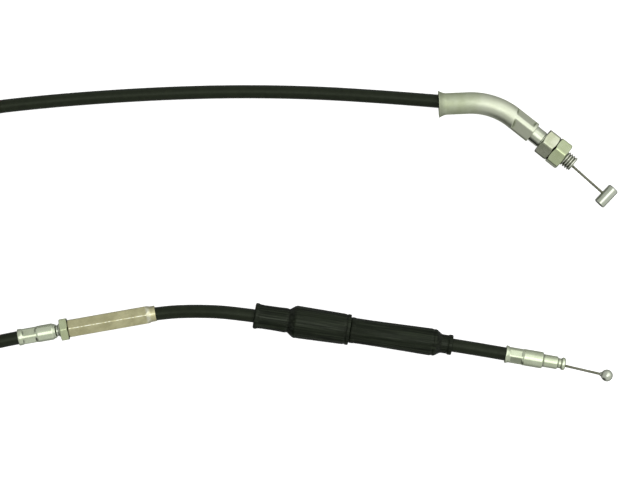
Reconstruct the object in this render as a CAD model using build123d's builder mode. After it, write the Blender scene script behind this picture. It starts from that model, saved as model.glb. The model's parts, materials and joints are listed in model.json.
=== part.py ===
"""Motorcycle throttle cable, millimetres.

A bent steel elbow with a hollow threaded stud feeds the throttle end; a long sheathed conduit, laid
flat and coiled, joins it to a screw adjuster; a short conduit leads on through a second adjuster
under a two-piece rubber boot to a crimped end ferrule at the carburettor end.  One stranded inner
wire slides through it all, with a barrel nipple on the throttle end and a ball nipple on the other.

Frame: the cable lies on Z = 0, +Z up, +X towards both nipples, origin under the middle of the fittings.
Each straight fitting is drawn on an axis plane, whose X runs along the fitting and whose Z is up.
"""

import os
from math import cos, pi, radians, sin, sqrt, tan

from build123d import *

# ---------------------------------------------------------------- driving dimensions
CONDUIT_R = 2.5            # sheathed conduit, outside
WINDING_R = 2.2            # flat steel winding under the sheath
LINER_R = 1.85             # plastic liner inside the winding
LINER_BORE_R = 1.6
WIRE_R = 0.5               # stranded inner wire
WIRE_THROW = 12.0          # travel of the inner wire each way from rest
WIRE_TAIL = WIRE_THROW + 0.5   # straight wire hidden in its fitting at rest
CAP_BORE_R = 1.5           # end washers that the conduit's ends bear on
CAP_T = 0.8
FIT = 0.05                 # radial gap of a running fit

# Elbow and stud
STUD_AF = 10.0             # M6 lock nut, across flats
STUD_AXIS_Z = STUD_AF / sqrt(3)   # the nuts rest on a corner
ELBOW_MOUTH = (45.21, 49.40, STUD_AXIS_Z)
ELBOW_IN_HEADING = 2.5
ELBOW_OUT_HEADING = -38.2
ELBOW_IN_LEG = 20.47       # mouth to the corner of the two axes
ELBOW_OUT_LEG = 18.65      # corner to the tube's end
ELBOW_BEND_R = 25.5
ELBOW_R = 4.05
ELBOW_BORE_R = 3.5
ELBOW_FLARE_R = 5.1
ELBOW_CRIMP_L = 9.0
ELBOW_CRIMP_HALF = 3.55    # crimp flats, distance from the axis
ELBOW_SEAT = 9.0           # depth of the conduit's end in the elbow
GUIDE_TUBE_R = 2.3
STUD_SHANK_R = 3.2
STUD_THREAD_R = 3.0
STUD_BORE_R = 1.6
STUD_SHANK_L = 4.5         # plain shank outside the elbow
STUD_END = 19.17           # elbow's end to stud's end
STUD_TAIL = 8.8            # shank inside the elbow
STUD_NUT_L = 5.1
STUD_NUT_GAP = 0.15

# Screw adjusters: the outer one, and the one under the boot
SCREW_R = 2.5
SCREW_NECK_R = 2.05
SCREW_BORE_R = 1.3
BARREL_AF = 6.5
JAM_NUT_AF = 8.0
JAM_NUT_L = 2.95
ADJUSTER_START = (-111.67, -37.60, JAM_NUT_AF / sqrt(3))
ADJUSTER_HEADING = 10.0
FERRULE_R = 3.1
FERRULE_L = 14.55
FERRULE_SEAT = 8.0         # depth of the conduit's end in the ferrule
CRIMP_AF = 5.5             # across the pressed flats
JAM_NUT_START = 15.95
BARREL_START = 18.95
BARREL_L = 33.1
BARREL_HEX_L = 29.0
BARREL_THREAD_L = 19.05    # depth of the tapped bore
BARREL_WEB_L = 2.0
BARREL_COLLAR_R = 3.0
SCREW_REACH = 17.0         # screw inside the barrel at rest

# Boot and carburettor end
BOOT_START = (-25.92, -29.0, 6.58)
BOOT_HEADING = -8.52
BOOT_PITCH = -1.2
JOINER_START = 13.0        # hidden ferrule's mouth, along the boot's axis
END_BEND = 81.0            # where the short conduit turns from the boot's axis to the ferrule's
END_HEADING = -9.74
END_FERRULE_START = 16.2   # from that turn
END_FERRULE_L = 22.7
END_SEAT = 12.5            # depth of the conduit's end in the end ferrule
END_TIP_BORE_R = 1.35

# Nipples
BARREL_NIPPLE_R = 2.25
BARREL_NIPPLE_L = 8.25
BARREL_NIPPLE_HEADING = 46.3
UPPER_WIRE_SLANT = -3.4    # the wire leans across its bore
UPPER_WIRE_REACH = 17.0    # stud's end to the nipple's middle
LOWER_WIRE_SLANT = -3.3
LOWER_WIRE_REACH = 16.13
WIRE_EXIT_OFFSET = -0.6
SOCKET_DEPTH = 0.4         # wire's end inside its nipple
BALL_R = 2.25

# Coil of the long conduit
COIL_CENTRE = (-156.55, -18.2)
COIL_MID_R = 30.0          # middle of the turns
COIL_OUTER_R = 32.5        # outer strand; the inner strand is one diameter inside it
COIL_BASE_Z = 1.05         # the ties lift the coil off the surface
COIL_TOP_Z = 10.6
COIL_ENTRY_ANGLE = 160.0
TIE_ANGLES = (35.0, 225.0)
TIE_W = 3.6
TIE_T = 0.9


# ---------------------------------------------------------------- helpers
def axis_plane(start, heading, pitch=0.0):
    """A plane whose X runs along a fitting's axis and whose Z is as near up as it can be."""
    a, b = radians(heading), radians(pitch)
    along = (cos(b) * cos(a), cos(b) * sin(a), sin(b))
    up = (-sin(b) * cos(a), -sin(b) * sin(a), cos(b))
    return Plane(origin=start, x_dir=along, z_dir=up)


def on(axis, station, side=0.0):
    """The point at a station along an axis plane, and a distance to its left."""
    return axis.from_local_coords(Vector(station, side, 0))


def across(axis, station):
    """The plane square to an axis at a station, with its X up."""
    return Plane(origin=on(axis, station), x_dir=axis.z_dir, z_dir=axis.x_dir)


def save(piece, label):
    piece.part.label = label
    export_step(piece.part, f"parts/{label}.step")


def turned(axis, outline):
    """A turned piece: a closed outline of (station, radius) points, revolved about its axis."""
    with BuildPart() as piece:
        with BuildSketch(axis):
            with BuildLine():
                Polyline(*outline, close=True)
            make_face()
        revolve(axis=Axis(axis.origin, axis.x_dir))
    return piece


def hexagonal(axis, start, across_flats, hex_length, envelope):
    """A hexagon bar trimmed to a turned envelope, which gives its bore, ends and chamfers."""
    with BuildPart() as piece:
        with BuildSketch(across(axis, start)):
            RegularPolygon(radius=across_flats / sqrt(3), side_count=6)
        extrude(amount=hex_length)
        with BuildSketch(axis):
            with BuildLine():
                Polyline(*envelope, close=True)
            make_face()
        revolve(axis=Axis(axis.origin, axis.x_dir), mode=Mode.INTERSECT)
    return piece


def nut_envelope(start, across_flats, length, bore_r):
    """A nut's envelope, with its corners chamfered at both ends."""
    corner, flat = across_flats / sqrt(3), across_flats / 2
    rise = (corner - flat) * tan(radians(30))
    end = start + length
    return [
        (start, bore_r + 0.3), (start, flat), (start + rise, corner + 0.01),
        (end - rise, corner + 0.01), (end, flat), (end, bore_r + 0.3),
        (end - 0.3, bore_r), (start + 0.3, bore_r),
    ]


def corner_radii(points):
    """The largest fair radius at each corner of a route: 0.45 of the shorter run."""
    radii = []
    for before, corner, after in zip(points, points[1:], points[2:]):
        run_in, run_out = Vector(corner) - Vector(before), Vector(after) - Vector(corner)
        half_turn = radians(run_in.get_angle(run_out)) / 2
        radii.append(0.45 * min(run_in.length, run_out.length) / tan(half_turn))
    return radii


def tube(points, outer_r, inner_r=0.0, radii=None):
    """A round tube, or a rod, along straight runs joined by tangent arcs of one radius or of several."""
    with BuildPart() as piece:
        with BuildLine() as route:
            FilletPolyline(*points, radius=radii or corner_radii(points))
        with BuildSketch(Plane(origin=route.line @ 0, z_dir=route.line % 0)):
            Circle(outer_r)
            if inner_r:
                Circle(inner_r, mode=Mode.SUBTRACT)
        sweep()
    return piece


def rod(axis, start, end, radius):
    return turned(axis, [(start, 0), (start, radius), (end, radius), (end, 0)])


def washer(axis, start):
    """The steel washer that closes a conduit's end and guides the wire."""
    end = start + CAP_T
    return turned(axis, [
        (start, CAP_BORE_R), (start, CONDUIT_R), (end, CONDUIT_R), (end, CAP_BORE_R),
    ])


def conduit(points, names):
    """A built-up conduit: sheath over steel winding over plastic liner."""
    radii = (CONDUIT_R, WINDING_R, LINER_R, LINER_BORE_R)
    for name, outer_r, inner_r in zip(names, radii, radii[1:]):
        save(tube(points, outer_r, inner_r), name)


# ---------------------------------------------------------------- axes
os.makedirs("parts", exist_ok=True)

elbow_axis = axis_plane(ELBOW_MOUTH, ELBOW_IN_HEADING)
elbow_corner = on(elbow_axis, ELBOW_IN_LEG)
stud_axis = axis_plane(
    on(axis_plane(elbow_corner, ELBOW_OUT_HEADING), ELBOW_OUT_LEG), ELBOW_OUT_HEADING
)
upper_wire_axis = axis_plane(
    on(stud_axis, STUD_END, WIRE_EXIT_OFFSET), ELBOW_OUT_HEADING + UPPER_WIRE_SLANT
)
adjuster_axis = axis_plane(ADJUSTER_START, ADJUSTER_HEADING)
boot_axis = axis_plane(BOOT_START, BOOT_HEADING, BOOT_PITCH)
joiner_axis = axis_plane(on(boot_axis, JOINER_START), BOOT_HEADING, BOOT_PITCH)
end_axis = axis_plane(on(boot_axis, END_BEND), END_HEADING, BOOT_PITCH)
end_tip = END_FERRULE_START + END_FERRULE_L
lower_wire_axis = axis_plane(
    on(end_axis, end_tip, WIRE_EXIT_OFFSET), END_HEADING + LOWER_WIRE_SLANT, BOOT_PITCH
)

# ---------------------------------------------------------------- elbow tube
elbow_points = [elbow_axis.origin, elbow_corner, stud_axis.origin]
with BuildPart() as elbow_tube:
    add(tube(elbow_points, ELBOW_R, radii=ELBOW_BEND_R).part)
    # flared mouth
    with BuildSketch(elbow_axis):
        with BuildLine():
            Polyline((0, 3.0), (0, ELBOW_FLARE_R), (0.5, ELBOW_FLARE_R), (2.6, ELBOW_R), (2.6, 3.0),
                     close=True)
        make_face()
    revolve(axis=Axis(elbow_axis.origin, elbow_axis.x_dir))
    # bore, a little tighter where the stud is crimped in
    add(tube(elbow_points, STUD_SHANK_R, radii=ELBOW_BEND_R).part, mode=Mode.SUBTRACT)
    with BuildSketch(elbow_axis):
        with BuildLine():
            Polyline((0, 0), (0, 4.4), (2.4, ELBOW_BORE_R), (ELBOW_SEAT + CAP_T, ELBOW_BORE_R),
                     (ELBOW_SEAT + CAP_T, 0), close=True)
        make_face()
    revolve(axis=Axis(elbow_axis.origin, elbow_axis.x_dir), mode=Mode.SUBTRACT)
    # four crimp flats, between a lip at the end and the bend
    with BuildSketch(across(stud_axis, -ELBOW_CRIMP_L)):
        Rectangle(12, 12)
        Rectangle(2 * ELBOW_CRIMP_HALF, 2 * ELBOW_CRIMP_HALF, rotation=45, mode=Mode.SUBTRACT)
    extrude(amount=ELBOW_CRIMP_L - 1.0, mode=Mode.SUBTRACT)
save(elbow_tube, "elbow_tube")

# Guide tube through the bend, and the washer that the conduit's end bears on
liner_points = [on(elbow_axis, ELBOW_SEAT + CAP_T), elbow_corner, on(stud_axis, -STUD_TAIL - 0.1)]
save(tube(liner_points, GUIDE_TUBE_R, LINER_BORE_R, ELBOW_BEND_R), "elbow_guide_tube")
save(turned(elbow_axis, [
    (ELBOW_SEAT, CAP_BORE_R), (ELBOW_SEAT, ELBOW_BORE_R - FIT),
    (ELBOW_SEAT + CAP_T, ELBOW_BORE_R - FIT), (ELBOW_SEAT + CAP_T, CAP_BORE_R),
]), "elbow_seat_washer")

# ---------------------------------------------------------------- threaded stud and its nuts
save(turned(stud_axis, [
    (-STUD_TAIL, STUD_BORE_R), (-STUD_TAIL, STUD_SHANK_R), (STUD_SHANK_L, STUD_SHANK_R),
    (STUD_SHANK_L, STUD_THREAD_R), (STUD_END - 0.5, STUD_THREAD_R), (STUD_END, STUD_THREAD_R - 0.5),
    (STUD_END, STUD_BORE_R),
]), "threaded_stud")

inner_nut_start = STUD_SHANK_L + FIT
outer_nut_start = inner_nut_start + STUD_NUT_L + STUD_NUT_GAP
for label, start in (("lock_nut_inner", inner_nut_start), ("lock_nut_outer", outer_nut_start)):
    envelope = nut_envelope(start, STUD_AF, STUD_NUT_L, STUD_THREAD_R + FIT)
    save(hexagonal(stud_axis, start, STUD_AF, STUD_NUT_L, envelope), label)

# ---------------------------------------------------------------- throttle end of the wire
wire_end = UPPER_WIRE_REACH - BARREL_NIPPLE_R + SOCKET_DEPTH
save(rod(upper_wire_axis, -WIRE_TAIL, wire_end, WIRE_R), "inner_wire_upper")

nipple_axis = axis_plane(on(upper_wire_axis, UPPER_WIRE_REACH), BARREL_NIPPLE_HEADING)
half = BARREL_NIPPLE_L / 2
with BuildPart() as barrel_nipple:
    with BuildSketch(across(nipple_axis, -half)):
        Circle(BARREL_NIPPLE_R)
    extrude(amount=BARREL_NIPPLE_L)
    chamfer(barrel_nipple.edges(), 0.35)
    # blind socket that the wire is cast into
    with BuildSketch(across(upper_wire_axis, UPPER_WIRE_REACH - BARREL_NIPPLE_R - 1.0)):
        Circle(WIRE_R)
    extrude(amount=1.0 + SOCKET_DEPTH, mode=Mode.SUBTRACT)
save(barrel_nipple, "barrel_nipple")


# ---------------------------------------------------------------- screw adjusters
def crimp_ferrule(axis):
    """A ferrule crimped over a conduit's end, and over the head of its adjusting screw."""
    with BuildPart() as piece:
        with BuildSketch(axis):
            with BuildLine():
                Polyline(
                    (0, CONDUIT_R + FIT), (0, FERRULE_R), (1.35, FERRULE_R), (1.95, 2.95), (7.05, 2.95),
                    (7.45, FERRULE_R - 0.02), (13.05, FERRULE_R - 0.02), (FERRULE_L, 2.35),
                    (FERRULE_L, SCREW_NECK_R + FIT), (FERRULE_SEAT, SCREW_NECK_R + FIT),
                    (FERRULE_SEAT, CONDUIT_R + FIT), close=True,
                )
            make_face()
        revolve(axis=Axis(axis.origin, axis.x_dir))
        # pressed flats that grip the conduit
        with BuildSketch(across(axis, 2.4)):
            Rectangle(9, 9)
            Rectangle(CRIMP_AF, CRIMP_AF, rotation=45, mode=Mode.SUBTRACT)
        extrude(amount=4.2, mode=Mode.SUBTRACT)
    return piece


def adjusting_screw(axis):
    """A hollow screw: plain neck, then thread."""
    start, end = FERRULE_SEAT + FIT, BARREL_START + SCREW_REACH
    return turned(axis, [
        (start, SCREW_BORE_R), (start, SCREW_NECK_R), (16.2, SCREW_NECK_R), (16.6, SCREW_R),
        (end - 0.4, SCREW_R), (end, SCREW_R - 0.4), (end, SCREW_BORE_R),
    ])


def barrel_adjuster(axis):
    """A long hexagon barrel, tapped from one end, with the next conduit seated in its collar."""
    start, end = BARREL_START, BARREL_START + BARREL_L
    thread_end = start + BARREL_THREAD_L
    seat = thread_end + BARREL_WEB_L
    corner = BARREL_AF / sqrt(3)
    hex_end = start + BARREL_HEX_L
    envelope = [
        (start, SCREW_R + 0.35), (start, BARREL_AF / 2), (start + 0.35, corner + 0.01),
        (hex_end, corner + 0.01), (hex_end + 1.85, BARREL_COLLAR_R), (end, BARREL_COLLAR_R),
        (end, CONDUIT_R + 2 * FIT), (seat, CONDUIT_R + 2 * FIT), (seat, CAP_BORE_R),
        (thread_end, CAP_BORE_R), (thread_end, SCREW_R + FIT), (start + 0.3, SCREW_R + FIT),
    ]
    return hexagonal(axis, start, BARREL_AF, BARREL_L, envelope), seat


def jam_nut(axis):
    envelope = nut_envelope(JAM_NUT_START, JAM_NUT_AF, JAM_NUT_L, SCREW_R + FIT)
    return hexagonal(axis, JAM_NUT_START, JAM_NUT_AF, JAM_NUT_L, envelope)


for axis, names in (
    (adjuster_axis, ("adjuster_ferrule", "adjuster_screw", "hex_barrel", "jam_nut", "mid_seat_washer")),
    (joiner_axis, ("joiner_ferrule", "joiner_screw", "joiner_barrel", "joiner_jam_nut", "end_seat_washer")),
):
    barrel, seat_station = barrel_adjuster(axis)
    pieces = (crimp_ferrule(axis), adjusting_screw(axis), barrel, jam_nut(axis), washer(axis, seat_station))
    for piece, label in zip(pieces, names):
        save(piece, label)
conduit_start = seat_station + CAP_T

# ---------------------------------------------------------------- conduit between the two adjusters
conduit([
    on(adjuster_axis, conduit_start),
    on(adjuster_axis, 53.95),
    (-44.55, -27.65, 5.7),
    on(boot_axis, -4.7),
    on(joiner_axis, FERRULE_SEAT),
], ("conduit_mid_sheath", "conduit_mid_winding", "conduit_mid_liner"))

# ---------------------------------------------------------------- conduit to the carburettor end
conduit([
    on(joiner_axis, conduit_start),
    on(boot_axis, END_BEND),
    on(end_axis, END_FERRULE_START + END_SEAT),
], ("conduit_end_sheath", "conduit_end_winding", "conduit_end_liner"))

# ---------------------------------------------------------------- rubber boot, two pieces
save(turned(boot_axis, [
    (2.4, 3.55), (2.4, 4.5), (3.3, 4.72), (4.6, 4.5), (15.3, 4.6), (17.9, 6.05),
    (37.6, 5.8), (38.2, 5.6), (38.2, 4.95), (18.5, 4.95), (15.6, 3.35), (4.0, 3.3),
]), "boot_left")
save(turned(boot_axis, [
    (35.0, 4.1), (35.0, 4.6), (38.5, 4.6), (39.0, 4.9), (45.0, 4.72), (69.5, 5.05),
    (70.9, 4.95), (72.8, 3.6), (77.05, 3.6), (77.05, 3.0), (72.6, 3.0), (70.6, 4.1),
]), "boot_right")

# ---------------------------------------------------------------- end ferrule
rim, tip = END_FERRULE_START, end_tip
with BuildPart() as end_ferrule:
    with BuildSketch(end_axis):
        with BuildLine():
            Polyline(
                (rim, CONDUIT_R + 0.2), (rim, 3.35), (rim + 0.7, 3.3), (rim + 1.3, 2.95), (rim + 6.6, 2.95),
                (rim + 7.0, 3.1), (rim + 13.9, 3.1), (rim + 14.4, 2.4), (tip - 3.1, 2.4), (tip - 2.8, 1.88),
                (tip - 1.5, 1.88), (tip - 1.3, 2.4), (tip - 0.4, 2.4), (tip, 2.0), (tip, END_TIP_BORE_R),
                (rim + END_SEAT, END_TIP_BORE_R), (rim + END_SEAT, CONDUIT_R + FIT),
                (rim + 0.8, CONDUIT_R + FIT), close=True,
            )
        make_face()
    revolve(axis=Axis(end_axis.origin, end_axis.x_dir))
    with BuildSketch(across(end_axis, rim + 1.9)):
        Rectangle(9, 9)
        Rectangle(CRIMP_AF, CRIMP_AF, rotation=45, mode=Mode.SUBTRACT)
    extrude(amount=4.3, mode=Mode.SUBTRACT)
save(end_ferrule, "end_ferrule")

# ---------------------------------------------------------------- carburettor end of the wire
wire_end = LOWER_WIRE_REACH - BALL_R + SOCKET_DEPTH
save(rod(lower_wire_axis, -WIRE_TAIL, wire_end, WIRE_R), "inner_wire_lower")
with BuildPart() as ball_nipple:
    with Locations(on(lower_wire_axis, LOWER_WIRE_REACH)):
        Sphere(BALL_R)
    with BuildSketch(across(lower_wire_axis, LOWER_WIRE_REACH - BALL_R - 1.0)):
        Circle(WIRE_R)
    extrude(amount=1.0 + SOCKET_DEPTH, mode=Mode.SUBTRACT)
save(ball_nipple, "ball_nipple")

# ---------------------------------------------------------------- long conduit, laid on the surface
coil_entry = (
    COIL_CENTRE[0] + COIL_OUTER_R * cos(radians(COIL_ENTRY_ANGLE)),
    COIL_CENTRE[1] + COIL_OUTER_R * sin(radians(COIL_ENTRY_ANGLE)),
    COIL_BASE_Z + CONDUIT_R,
)
upper_route = [
    on(elbow_axis, ELBOW_SEAT - 0.35),
    (28.95, 52.0, 4.7),
    (-9.05, 54.3, 2.9),
    (-49.05, 54.15, 2.5),
    (-94.05, 51.45, 2.5),
    (-134.05, 47.0, 2.5),
    (-162.05, 35.8, 2.6),
    (-180.25, 11.7, 3.0),
    coil_entry,
]
return_route = [
    (-133.0, -42.75, 9.3),
    on(adjuster_axis, -7.15),
    on(adjuster_axis, FERRULE_SEAT - 0.1),
]
for label, route in (("conduit_upper_run", upper_route), ("conduit_return_run", return_route)):
    run = tube(route, CONDUIT_R)
    save(run, label)
    with BuildLine() as middle_line:
        FilletPolyline(*route, radius=corner_radii(route))
    length = sum(edge.length for edge in middle_line.edges())
    print(label, "radii", [round(r) for r in corner_radii(route)], "length", round(length, 1),
          "volume over section times length", round(run.part.volume / (pi * CONDUIT_R**2 * length), 4))

with BuildPart() as conduit_coil:
    with BuildSketch(Plane.XZ):
        with Locations((COIL_MID_R, (COIL_BASE_Z + COIL_TOP_Z) / 2)):
            RectangleRounded(4 * CONDUIT_R, COIL_TOP_Z - COIL_BASE_Z, CONDUIT_R)
    revolve(axis=Axis.Z)
conduit_coil.part.locate(Location((*COIL_CENTRE, 0)))
save(conduit_coil, "conduit_coil")

# ---------------------------------------------------------------- cable ties round the coil
tie_height = COIL_TOP_Z - COIL_BASE_Z + 2 * (TIE_T + FIT)
with BuildPart() as coil_ties:
    for angle in TIE_ANGLES:
        a = radians(angle)
        middle = (COIL_CENTRE[0] + COIL_MID_R * cos(a), COIL_CENTRE[1] + COIL_MID_R * sin(a),
                  (COIL_BASE_Z + COIL_TOP_Z) / 2)
        loop = Plane(origin=middle, x_dir=(cos(a), sin(a), 0), z_dir=(sin(a), -cos(a), 0))
        with BuildSketch(loop):
            RectangleRounded(4 * CONDUIT_R + 2 * (TIE_T + FIT), tie_height, CONDUIT_R + TIE_T)
            RectangleRounded(4 * CONDUIT_R + 2 * FIT, tie_height - 2 * TIE_T, CONDUIT_R, mode=Mode.SUBTRACT)
        extrude(amount=TIE_W / 2, both=True)
        with BuildSketch(loop):
            with Locations((2 * CONDUIT_R + FIT + 2.0, 0)):
                Rectangle(4.0, 4.6)
        extrude(amount=TIE_W / 2 + 0.9, both=True)
save(coil_ties, "coil_ties")
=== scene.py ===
"""The looks of the motorcycle throttle cable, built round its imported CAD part.

Each fitting is modelled in its own axis frame: local X runs along the fitting in metres, Z is as near up
as it can be. Stations along that X, and radii from it, are in millimetres below, as in the part's source.
"""
import json
import math

import bpy
import numpy as np
from mathutils import Matrix, Vector


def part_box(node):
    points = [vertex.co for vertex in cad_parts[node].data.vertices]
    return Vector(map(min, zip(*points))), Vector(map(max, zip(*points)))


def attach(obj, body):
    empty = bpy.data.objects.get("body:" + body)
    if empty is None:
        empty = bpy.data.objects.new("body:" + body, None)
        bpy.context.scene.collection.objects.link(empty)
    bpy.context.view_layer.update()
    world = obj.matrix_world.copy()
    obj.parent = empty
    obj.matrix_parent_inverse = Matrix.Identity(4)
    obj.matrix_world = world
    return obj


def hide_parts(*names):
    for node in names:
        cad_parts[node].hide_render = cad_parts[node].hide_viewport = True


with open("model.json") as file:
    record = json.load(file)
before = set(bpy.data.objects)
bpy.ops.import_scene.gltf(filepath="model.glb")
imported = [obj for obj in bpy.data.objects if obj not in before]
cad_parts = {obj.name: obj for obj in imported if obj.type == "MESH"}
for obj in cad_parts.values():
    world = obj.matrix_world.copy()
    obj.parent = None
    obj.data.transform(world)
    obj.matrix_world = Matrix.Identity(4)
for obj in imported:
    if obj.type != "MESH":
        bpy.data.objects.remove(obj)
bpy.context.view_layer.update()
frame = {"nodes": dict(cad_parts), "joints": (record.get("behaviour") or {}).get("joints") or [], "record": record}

MM = 0.001
SEGMENTS = 96
CONDUIT_R = 2.5
WIRE_R = 0.5
BARREL_AF, JAM_NUT_AF, LOCK_NUT_AF = 6.5, 8.0, 10.0   # across flats
LOCK_NUT_L, LOCK_NUT_BORE_R = 5.1, 3.05
NUT_CHAMFER = math.radians(36)
ELBOW_HEADING = 2.5        # degrees from X, at the elbow's mouth
ELBOW_SEAT = 9.4           # depth of the washer's middle in the elbow
LOCK_GAP = 9.75            # station of the gap between the lock nuts
UPPER_WIRE_REACH = 17.0    # from the stud's end to the middle of the nipple
LOWER_WIRE_REACH = 16.13
END_PIN = 33.2             # middle of the end ferrule's plain pin


# ---------------------------------------------------------------- axis frames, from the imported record
def joint(name):
    return next(j for j in frame["joints"] if j["name"] == name)


def mount(name):
    return next(m for m in frame["record"]["mounts"] if m["name"] == name)


class Axis:
    """A fitting's axis: local X along it, Z as near up as it can be."""

    def __init__(self, point, along, station):
        """The axis through a point in metres that lies at this station."""
        self.along = Vector(along).normalized()
        self.left = Vector((0, 0, 1)).cross(self.along).normalized()
        self.up = self.along.cross(self.left)
        self.start = Vector(point) - self.along * station * MM
        columns = (self.along, self.left, self.up)
        rows = [[column[i] for column in columns] + [self.start[i]] for i in range(3)]
        self.matrix = Matrix(rows + [[0, 0, 0, 1]])

    def at(self, station):
        return self.start + self.along * station * MM


def box_middle(node):
    low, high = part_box(node)
    return (Vector(low) + Vector(high)) / 2


def axes():
    """Each fitting's axis, by name. Its last argument is the station of the point that places it."""
    adjuster, joiner = joint("adjuster_barrel_turn"), joint("boot_barrel_turn")
    throttle_end, carburettor_end = mount("throttle_drum_nipple"), mount("carburettor_ball_nipple")
    pin = mount("end_ferrule_pin")
    made = {
        "stud": Axis(mount("elbow_bracket_grip")["pos_m"], joint("outer_nut_travel")["axis"], LOCK_GAP),
        "throttle_wire": Axis(throttle_end["pos_m"], joint("throttle_pull")["axis"], UPPER_WIRE_REACH),
        "nipple": Axis(throttle_end["pos_m"], throttle_end["axis"], 0),
        "adjuster": Axis(adjuster["pos_m"], adjuster["axis"], 30),
        "boot": Axis(joiner["pos_m"], joiner["axis"], 45),
        "joiner": Axis(joiner["pos_m"], joiner["axis"], 32),
        "end": Axis(pin["pos_m"], pin["axis"], END_PIN),
        "end_wire": Axis(carburettor_end["pos_m"], joint("carburettor_pull")["axis"], LOWER_WIRE_REACH),
    }
    heading = math.radians(ELBOW_HEADING)
    along = (math.cos(heading), math.sin(heading), 0)
    made["elbow"] = Axis(box_middle("elbow_seat_washer"), along, ELBOW_SEAT)
    return made


AXES = axes()


# ---------------------------------------------------------------- mesh helpers
def soften(outline, radius, steps=3):
    """Rounds every corner of a closed outline of (station, radius) points."""
    out = []
    count = len(outline)
    for i, corner in enumerate(outline):
        corner = Vector(corner)
        before, after = Vector(outline[i - 1]), Vector(outline[(i + 1) % count])
        reach_in = min(radius, 0.4 * (before - corner).length)
        reach_out = min(radius, 0.4 * (after - corner).length)
        a = corner + (before - corner).normalized() * reach_in
        b = corner + (after - corner).normalized() * reach_out
        for k in range(steps + 1):
            t = k / steps
            out.append(a.lerp(corner, t).lerp(corner.lerp(b, t), t))
    return out


def divide(outline, step):
    """Splits the runs of a closed outline that are longer than a step."""
    out = []
    for i, a in enumerate(outline):
        b = outline[(i + 1) % len(outline)]
        parts = max(1, math.ceil((Vector(b) - Vector(a)).length / step))
        out += [Vector(a).lerp(Vector(b), k / parts) for k in range(parts)]
    return out


def soft_min(a, b, blend):
    """The smaller of two lengths, with the crease between them rounded over about a blend."""
    h = max(blend - abs(a - b), 0.0) / blend
    return min(a, b) - h * h * blend / 4


def hexagon(across_flats, rounding=0.12, turn=0.0):
    """The radius of a hexagon with a corner up, by angle from up, its corners slightly rounded."""
    flat = across_flats / 2

    def radius(angle):
        sector = math.radians(60)
        a = (angle + turn) % sector - sector / 2
        sharp = flat / math.cos(a)
        return soft_min(sharp, flat / math.cos(sector / 2) - rounding, 2 * rounding)

    return radius


def mesh_object(name, vertices, faces, matrix, material, shade_and_shine=None):
    """A smooth mesh; the last argument, if given, is each vertex's own painted light: 1 for painted shade, 0 for
    none, -1 for a painted highlight on bright bare metal.
    """
    mesh = bpy.data.meshes.new(name)
    mesh.from_pydata(vertices, [], faces)
    mesh.validate()
    mesh.polygons.foreach_set("use_smooth", [True] * len(mesh.polygons))
    if shade_and_shine is not None:
        layer = mesh.attributes.new("shade_and_shine", "FLOAT", "POINT")
        layer.data.foreach_set("value", np.ravel(shade_and_shine).astype(np.float32))
    obj = bpy.data.objects.new(name, mesh)
    bpy.context.collection.objects.link(obj)
    obj.matrix_world = matrix
    mesh.materials.append(material)
    return obj


def hollows(stations, radii, reach=0.7):
    """How steeply the surface rises beside each vertex of a ring grid, as painted shade from 0 to 1.

    Only the outer skin counts, where stations run forwards, and only rings within reach of each other.
    """
    stations, radii = np.array(stations), np.array(radii)
    outward = np.roll(stations, -1) - np.roll(stations, 1) > -1e-6
    steepest = np.zeros_like(radii)
    neighbours = 12
    for shift in (k for k in range(-neighbours, neighbours + 1) if k):
        distance = np.abs(np.roll(stations, shift) - stations)
        usable = (distance < reach) & (distance > 0.02) & outward & np.roll(outward, shift)
        rise = (np.roll(radii, shift, axis=0) - radii) / (distance + 0.12)[:, None]
        steepest = np.where(usable[:, None], np.maximum(steepest, rise), steepest)
    return np.clip((steepest - 0.2) / 0.9, 0, 1)


def loop_faces(rings, segments, closed):
    """Quads between neighbouring rings of a grid of vertices."""
    faces = []
    for i in range(rings if closed else rings - 1):
        j = (i + 1) % rings
        for k in range(segments):
            m = (k + 1) % segments
            faces.append((i * segments + k, j * segments + k, j * segments + m, i * segments + m))
    return faces


def turned(name, axis, outline, material, limit=None, rounding=0.12, step=None, segments=SEGMENTS,
           painted_shade=None, highlight_and_wear=None, hollow_shade=1.0):
    """A hollow turned piece: a closed outline revolved about X.

    limit(station, radius, angle) cuts the radius. Of the same three, the painted shade function sets a least
    amount of painted shade, and the highlight function takes it away, down to -1 for a painted highlight on bright
    bare metal, partly real wear on the barrel's ridges. The last argument scales the hollows' own painted shade.
    """
    points = soften(outline, rounding)
    if step:
        points = divide(points, step)
    angles = [2 * math.pi * k / segments for k in range(segments)]
    stations = [s for s, _ in points]
    radii = [[r if limit is None else limit(s, r, a) for a in angles] for s, r in points]

    def over_surface(value):
        return [[value(s, r, a) for r, a in zip(row, angles)] for s, row in zip(stations, radii)]

    rings = over_surface(lambda s, r, a: (s * MM, r * MM * math.sin(a), r * MM * math.cos(a)))
    vertices = [vertex for ring in rings for vertex in ring]
    shade_and_shine = hollow_shade * hollows(stations, radii)
    if painted_shade:
        shade_and_shine = np.maximum(shade_and_shine, over_surface(painted_shade))
    if highlight_and_wear:
        shade_and_shine = shade_and_shine - over_surface(highlight_and_wear)
    obj = mesh_object(name, vertices, loop_faces(len(points), segments, True), axis.matrix, material, shade_and_shine)
    weigh_normals(obj)
    return obj


def weigh_normals(obj):
    """Keeps flat faces flat under smooth shading."""
    modifier = obj.modifiers.new("normals", "WEIGHTED_NORMAL")
    modifier.mode = "FACE_AREA"
    modifier.weight = 50
    modifier.keep_sharp = True


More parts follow.
